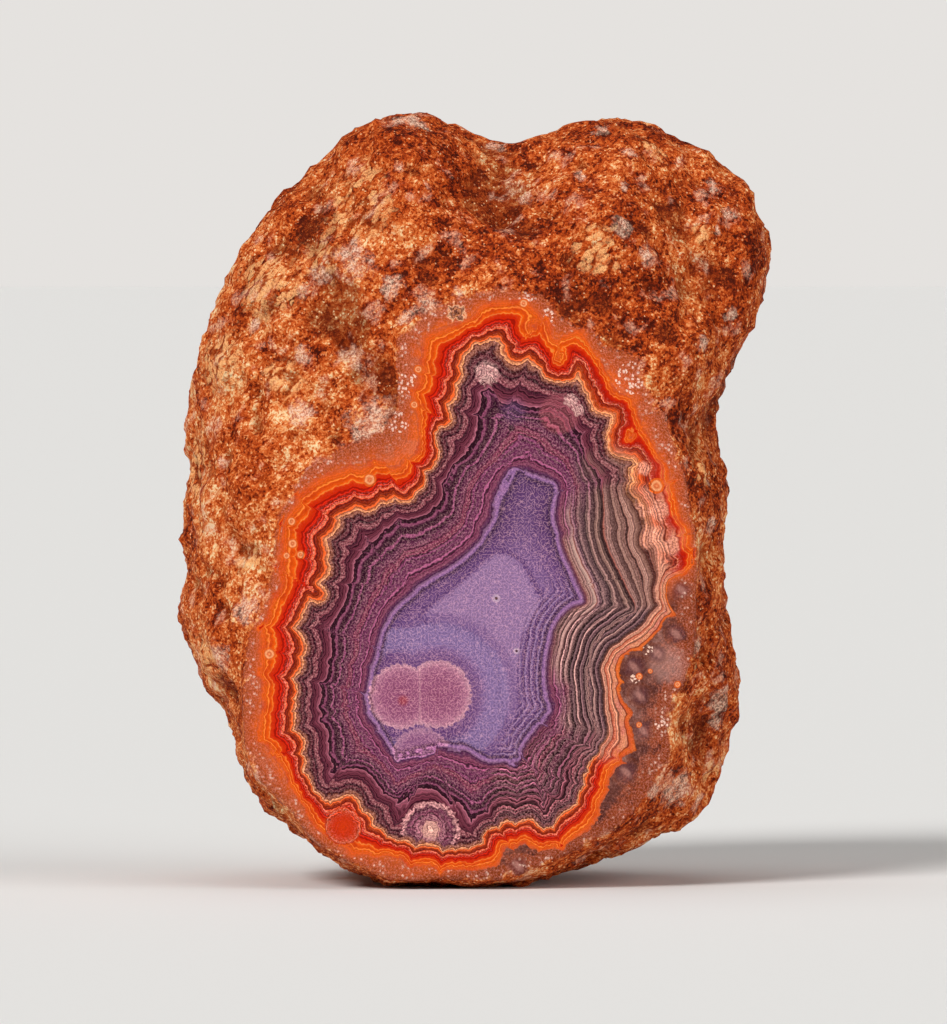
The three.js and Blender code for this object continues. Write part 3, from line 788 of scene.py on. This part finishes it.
def cored(g, field, colour, grain):
    """The core: dusky above, with ribs along its right side, the paler heart and soft arcs."""
    in_core = g.math("GREATER_THAN", field, 4.07)
    above = g.times(g.smooth(g.z, 31, 37, 0.0, 0.8), in_core)
    colour = g.mix(above, colour, (0.66, 0.57, 0.66), "MULTIPLY")

    heart = g.add(g.attribute("heart"), g.times(g.curl, 0.5), -0.25)
    rim = g.times(g.smooth(heart, -0.9, -0.35), g.smooth(heart, -0.1, -0.25, 0.0, 0.85))
    rim = g.times(rim, in_core)
    colour = g.mix(rim, colour, srgb(88, 56, 106))
    inner = g.times(g.smooth(heart, -0.25, 0.35, 0.0, 0.85), in_core)
    colour, grain = over(g, colour, grain, inner, srgb(142, 110, 150), 0.8)

    depth = g.times(g.add(field, -4.0), CORE_SCALE)
    rib = g.math("FRACT", g.add(g.times(depth, 1.75), 0.1))
    side = g.times(
        g.smooth(g.x, 1.5, 4.0), g.smooth(g.z, 32, 28), g.smooth(depth, 3.2, 2.4), in_core
    )
    colour = g.mix(g.times(side, g.smooth(rib, 0.45, 0.15, 0.0, 0.8)), colour, srgb(78, 48, 90))
    light = g.times(g.smooth(rib, 0.55, 0.75), g.smooth(rib, 1.0, 0.85), side, 0.7)
    colour = g.mix(light, colour, srgb(150, 120, 158))

    holes = g.within(g.flat, HOLES)
    halo = g.times(g.smooth(holes, 3.4, 1.8, 0.0, 0.55), in_core)
    colour = g.mix(halo, colour, srgb(206, 178, 192))
    colour = g.mix(g.smooth(holes, 1.25, 0.8), colour, srgb(56, 26, 40))

    out = g.add(g.within(g.flat, CORE_LOBES), g.ragged)
    dusk = g.times(g.smooth(out, 1.5, 1.05, 0.0, 0.7), in_core)
    colour = g.mix(dusk, colour, srgb(96, 58, 108))
    sky = g.times(g.smooth(out, 1.25, 1.6), g.smooth(out, 2.25, 2.0), in_core, 0.75)
    colour = g.mix(sky, colour, srgb(126, 104, 150))
    line = g.times(g.smooth(out, 2.05, 2.2), g.smooth(out, 2.5, 2.3), in_core, 0.5)
    colour = g.mix(line, colour, srgb(98, 68, 120))
    below = g.add(g.within(g.flat, (LOBE_BELOW,)), g.ragged)
    shown = g.times(g.smooth(below, 1.04, 0.94), g.math("GREATER_THAN", field, 4.02))
    colour, grain = over(g, colour, grain, shown, *g.ramp(below, LOBE_STOPS))
    colour, grain = over(g, colour, grain, g.smooth(out, 1.03, 0.97), *g.ramp(out, DISC_STOPS))
    seam = g.math("ABSOLUTE", g.add(g.x, 4.45))
    seam = g.times(g.smooth(seam, 0.14, 0.05, 0.0, 0.4), g.math("LESS_THAN", out, 0.95))
    colour = g.mix(seam, colour, srgb(190, 138, 148))
    red = g.smooth(g.within(g.flat, (RED_SPOT,)), 1.3, 0.4, 0.0, 0.7)
    return g.mix(red, colour, srgb(156, 60, 66)), grain


def marked(g, field, colour, grain):
    """Eyes, orbs and patches laid over the bands."""
    in_bands = g.smooth(field, 2.25, 2.4)
    rose = g.times(g.smooth(g.within(g.flat, (ROSE_LOBE,)), 1.05, 0.8, 0.0, 0.8), in_bands)
    colour, grain = over(g, colour, grain, rose, srgb(132, 64, 74), 0.25)
    dusk = g.times(g.smooth(g.within(g.flat, (VIOLET_PATCH,)), 1.2, 0.3, 0.0, 0.7), in_bands)
    colour = g.mix(dusk, colour, srgb(84, 54, 86))
    patch = g.add(g.within(g.flat, PALE_PATCHES), g.times(g.ragged, 4))
    patch = g.times(g.smooth(patch, 1.2, 0.8), g.smooth(g.curl_line, 0.04, 0.08))
    colour = g.mix(g.times(patch, in_bands, 0.8), colour, srgb(206, 160, 152))

    clump = g.add(g.within(g.flat, CLUMPS), g.times(g.cloud, 1.6), -0.8)
    clump = g.times(g.smooth(clump, 1.1, 0.5), g.smooth(field, 1.25, 1.35))
    clump = g.times(clump, g.smooth(field, 2.02, 1.98), 0.75)
    colour, grain = over(g, colour, grain, clump, srgb(214, 142, 112), 1.0)
    out = g.add(g.within(g.flat, (EYE,)), g.ragged)
    shown = g.math("MAXIMUM", g.smooth(field, 2.1, 2.2), g.smooth(out, 0.3, 0.25))
    shown = g.times(g.math("LESS_THAN", out, 0.72), shown)
    colour, grain = over(g, colour, grain, shown, *g.ramp(out, EYE_STOPS))
    for discs, stops in (((EMBER,), EMBER_STOPS), (ORBS, ORB_STOPS)):
        out = g.add(g.within(g.flat, discs), g.ragged)
        shown = g.smooth(out, 1.02, 0.94)
        colour, grain = over(g, colour, grain, shown, *g.ramp(out, stops))
    return colour, grain


def mossy(g, field, colour, grain):
    """The translucent layer outside the bands: cloudy, with dark pockets low on the right."""
    outside = g.math("LESS_THAN", field, 1)
    low = g.smooth(g.z, 33, 27)
    right = g.smooth(g.add(g.x, g.times(g.z, -0.6)), -4, 2)
    moss = g.times(low, right, outside)
    colour, grain = over(g, colour, grain, moss, *g.ramp(g.cloud, MOSS_STOPS))
    clear = g.math("SUBTRACT", outside, moss)
    veil = g.times(clear, g.smooth(g.cloud, 0.45, 0.65, 0.0, 0.45))
    colour = g.mix(veil, colour, srgb(208, 112, 78))
    past_rim = g.attribute("past_rim")
    rusty = g.add(past_rim, g.times(g.cloud, 6), g.times(g.fine, 3))
    rusty = g.times(g.smooth(rusty, 1.8, 3.4, 0.0, 0.8), g.add(moss, g.times(clear, 0.6)))
    colour, grain = over(g, colour, grain, rusty, srgb(146, 62, 22), 0.6)

    ragged = g.math("MULTIPLY_ADD", g.cloud, 0.8, -0.4)
    cloudy = g.add(g.within(g.flat, (CLOUDY,)), ragged)
    cloudy = g.times(g.smooth(cloudy, 1.1, 0.5, 0.0, 0.5), moss)
    colour = g.mix(cloudy, colour, srgb(184, 134, 122))
    out = g.add(g.within(g.flat, POCKETS), ragged)
    shown = g.times(outside, g.smooth(out, 1.2, 0.4, 0.0, 0.6))
    colour, grain = over(g, colour, grain, shown, *g.ramp(out, POCKET_STOPS))
    long, wide = 0.36, 0.7
    slanted = g.spot(g.times(g.math("SUBTRACT", g.x, g.z), long), g.times(g.add(g.x, g.z), wide))
    grains = tuple(((x - z) * long, (x + z) * wide, PALE_GRAIN) for x, z, _ in POCKETS)
    out = g.add(g.within(slanted, grains), ragged)
    shown = g.times(outside, g.smooth(out, 1.3, 0.4, 0.0, 0.6))
    colour = g.mix(shown, colour, srgb(176, 122, 110))

    gap, chance = g.cells(g.flat, CRYSTAL, flat=True)
    gap = g.add(gap, g.times(g.add(g.fine, -0.5), 2.4))
    bit = g.times(g.smooth(gap, 0.46, 0.34), outside)
    near_rim = g.times(g.smooth(past_rim, -2.2, -0.6), g.smooth(g.cloud, 0.44, 0.58))
    stray = g.times(bit, near_rim, g.math("GREATER_THAN", chance, 0.74), 0.7)
    crystals = g.math("LESS_THAN", g.add(g.within(g.flat, CRYSTALS), ragged), 1)
    cluster = g.times(bit, crystals, g.smooth(chance, 0.35, 0.45))
    colour = g.mix(g.math("MAXIMUM", stray, cluster), colour, srgb(240, 200, 178))
    knot = g.add(g.within(g.flat, (RUSTY_KNOT,)), g.times(ragged, 2.2))
    knot = g.add(knot, g.times(g.curl, 0.6), -0.3)
    return over(g, colour, grain, g.smooth(knot, 1.0, 0.9), *g.ramp(knot, KNOT_STOPS))


def grained(g, field, colour, grain):
    """Thin threads along the bands, and pale curls and dots and dark gaps where it is grainy."""
    banding = g.smooth(field, 4.06, 4.1, 1.0, 0.0)
    thread = g.lines(field, THREAD)
    calm = g.times(banding, g.smooth(field, 1.4, 1.6, 0.2, 1.0))
    dim = g.times(g.smooth(thread, 0.5, 0.32, 0.0, 0.8), calm)
    colour = g.mix(dim, colour, (0.38, 0.28, 0.34), "MULTIPLY")
    lit = g.times(g.smooth(thread, 0.52, 0.66, 0.0, 0.75), calm)
    colour = g.mix(lit, colour, (2.1, 2.0, 2.0), "MULTIPLY")
    speckle = g.times(grain, g.math("MULTIPLY_ADD", banding, 0.6, 0.4))
    hollow = g.times(g.smooth(g.fine, 0.5, 0.4), g.math("MULTIPLY_ADD", speckle, 0.8, 0.05))
    colour = g.mix(hollow, colour, (0.3, 0.19, 0.27), "MULTIPLY")
    pale = g.mix(0.45, g.mix(1.0, colour, (2.0, 1.9, 1.9), "MULTIPLY"), srgb(214, 164, 160))
    worms = g.times(g.smooth(g.curl_line, 0.07, 0.02), grain)
    worms = g.times(worms, g.math("MULTIPLY_ADD", banding, -0.25, 0.8))
    colour = g.mix(worms, colour, pale)
    return g.mix(g.times(g.smooth(g.fine, 0.54, 0.62), speckle, 0.85), colour, pale)


def patterned_face(g):
    """The polished face's colour."""
    grey = grey_share(g)
    field = band_place(g, grey)
    colour, grain = banded(g, field, grey)
    colour = painted_step_shading(g, field, grey, colour)
    colour, grain = cored(g, field, colour, grain)
    colour, grain = mossy(g, field, colour, grain)
    colour, grain = marked(g, field, colour, grain)
    return grained(g, field, colour, grain)


def rusty_rind(g, p):
    """The crust's colour, and the height of its grains.

    Orange and tan crystals over rust, frosted with pale quartz. Painted shade darkens the pits,
    the gaps between grains and the sunken parts. The raised parts and the left side are painted a
    little lighter as if lit, and painted glints fleck the grains. In the golden places the grains
    are large and creamy.
    """
    drawn = g.drawn_out(p, 2.0)
    broad = g.noise(p, BROAD, 2, 0.6)
    streak = g.noise(drawn, STREAKS, 2, 0.6)
    gap, chance = g.cells(drawn, BIG_GRAINS)
    fine_gap, fine_chance = g.cells(p, SMALL_GRAINS)
    rough = g.add(g.times(g.cloud, 2.4), g.sway, -1.7)
    golden = g.smooth(g.add(g.attribute("golden"), rough), 1.4, 0.7)
    relief = g.attribute("relief")
    tone = g.add(
        # Painted highlight: raised parts of the crust a touch lighter
        g.smooth(relief, 0.1, 0.6, 0.0, 0.015),
        g.times(broad, 0.6),
        g.times(g.cloud, 0.5),
        g.times(streak, 0.5),
        g.times(g.fine, 0.45),
        g.times(g.add(fine_chance, -0.5), 0.24),
        # Painted light: the crust lighter on the left and darker on the right, as lit from the
        # left
        g.times(golden, 0.05),
        g.smooth(g.x, 8, -24, -0.015, 0.035),
        g.smooth(g.z, 50, 66, 0.0, -0.025),
        -0.53,
    )
    colour = g.ramp(tone, RIND_STOPS)[0]
    mauve = g.smooth(g.sway, 0.5, 0.64, 0.0, 0.6)
    colour = g.mix(mauve, colour, (0.84, 0.7, 0.86), "MULTIPLY")
    # Painted shade in the gaps between the grains, stronger in the golden places
    crevice_shade = g.times(g.smooth(gap, 0.55, 0.85), g.math("MULTIPLY_ADD", golden, 0.5, 0.1))
    colour = g.mix(crevice_shade, colour, srgb(120, 40, 6))
    large = g.times(g.smooth(gap, 0.72, 0.5), g.smooth(chance, 0.3, 0.5), golden)
    large = g.times(large, g.smooth(g.fine, 0.38, 0.54, 0.35, 0.9))
    colour = g.mix(large, colour, srgb(255, 186, 122))
    # Painted shade: parts sunk below what lies around them are darkened
    colour = g.mix(g.smooth(relief, -0.08, -0.5, 0.0, 0.5), colour, srgb(92, 30, 8))

    # Painted shade in the pits: each listed pit is darkened
    pits = g.smooth(g.add(g.attribute("pit"), rough), 1.2, 0.1, 0.0, 0.7)
    pits = g.times(pits, g.smooth(g.fine, 0.6, 0.44, 0.5, 1.0))
    colour = g.mix(pits, colour, srgb(84, 24, 6))
    speckled = g.math("MULTIPLY_ADD", g.smooth(g.fine, 0.44, 0.58), 0.65, 0.25)
    spots = g.smooth(g.add(g.attribute("quartz"), rough), 1.2, 0.4)
    wild = g.smooth(g.add(g.sway, g.times(streak, 0.4), -0.2), 0.6, 0.74, 0.0, 0.45)
    quartz = g.times(g.math("MAXIMUM", spots, wild), g.smooth(streak, 0.34, 0.55, 0.3, 1.0))
    quartz = g.times(quartz, speckled)
    colour = g.mix(quartz, colour, srgb(248, 206, 178))
    # Painted glints: small bright highlight specks on the grains, kept out of the pits
    painted_glint = g.times(g.smooth(fine_gap, 0.45, 0.25), g.math("GREATER_THAN", fine_chance, 0.9))
    painted_glint = g.times(painted_glint, g.smooth(g.cloud, 0.45, 0.6, 0.2, 0.8), g.smooth(pits, 0.4, 0.1))
    colour = g.mix(painted_glint, colour, srgb(255, 216, 168))
    height = g.add(
        g.times(gap, golden, -0.8), g.cloud, g.times(g.fine, 0.8), g.times(streak, 0.5)
    )
    return colour, height


def agate_material():
    material = bpy.data.materials.new("agate")
    g = Graph(material)
    p = g.vector("SCALE", g.node("TexCoord").outputs["Object"], 1 / MM)
    g.share(p)
    ragged = g.add(g.attribute("past_rim"), g.times(g.cloud, 2.4), -1.2)
    rind = g.smooth(ragged, -0.25, 0.35)
    crust_colour, height = rusty_rind(g, p)
    colour = g.mix(rind, patterned_face(g), crust_colour)
    strength = g.times(rind, 0.85)
    bump = g.node("Bump", {"Distance": GRAIN_HIGH * MM, "Height": height, "Strength": strength})
    shader = g.node("BsdfPrincipled", {
        "Base Color": colour,
        "Roughness": g.smooth(rind, 0, 1, 0.16, 0.7),
        "Specular IOR Level": 0.07,
        "Normal": bump.outputs[0],
    })
    g.node("OutputMaterial", {0: shader.outputs[0]})
    return material


def aim(thing, target):
    thing.rotation_euler = (Vector(target) - thing.location).to_track_quat("-Z", "Y").to_euler()


def sun(name, way, strength, spread):
    light = bpy.data.objects.new(name, bpy.data.lights.new(name, "SUN"))
    light.data.energy = strength
    light.data.angle = math.radians(spread)
    light.location = Vector(way)
    aim(light, (0, 0, 0))
    bpy.context.collection.objects.link(light)


def studio():
    """A pale floor that runs out to a pale background, and soft suns."""
    mesh = bpy.data.meshes.new("floor")
    mesh.from_pydata([(-8, -8, 0), (8, -8, 0), (8, 8, 0), (-8, 8, 0)], [], [(0, 1, 2, 3)])
    floor = bpy.data.objects.new("floor", mesh)
    bpy.context.collection.objects.link(floor)
    paper = bpy.data.materials.new("paper")
    g = Graph(paper)
    shader = g.node("BsdfPrincipled", {"Base Color": (0.8, 0.79, 0.77), "Roughness": 0.9})
    g.node("OutputMaterial", {0: shader.outputs[0]})
    mesh.materials.append(paper)

    sun("key", (-0.55, -0.75, 0.7), 2.6, 20)
    sun("fill", (0.9, -0.5, 0.35), 1.5, 60)
    sun("top", (-0.1, 0.2, 0.95), 0.7, 50)

    world = bpy.data.worlds.new("studio")
    bpy.context.scene.world = world
    g = Graph(world)
    seen = g.node("Background", {0: FLOOR_LIT, 1: 1.0})
    lit = g.node("Background", {0: (1.0, 0.97, 0.94), 1: 0.12})
    to_camera = g.node("LightPath").outputs["Is Camera Ray"]
    either = g.node("MixShader", {0: to_camera, 1: lit.outputs[0], 2: seen.outputs[0]})
    g.node("OutputWorld", {0: either.outputs[0]})


def camera():
    """Square to the polished face, from far off through a long lens."""
    tilt = math.radians(CAMERA_TILT)
    centre = Vector(CAMERA_AIM)
    data = bpy.data.cameras.new("camera")
    data.lens = data.sensor_width * CAMERA_FAR / FRAME_HIGH
    seer = bpy.data.objects.new("camera", data)
    seer.location = centre + CAMERA_FAR * Vector((0, -math.cos(tilt), math.sin(tilt)))
    aim(seer, centre)
    bpy.context.collection.objects.link(seer)
    bpy.context.scene.camera = seer


camera()
studio()
stone = bpy.data.objects.new("agate_stone", agate_mesh())
stone.data.materials.append(agate_material())
bpy.context.collection.objects.link(stone)
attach(stone, "root")
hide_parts("agate_nodule")

bpy.context.scene.view_settings.view_transform = "Standard"
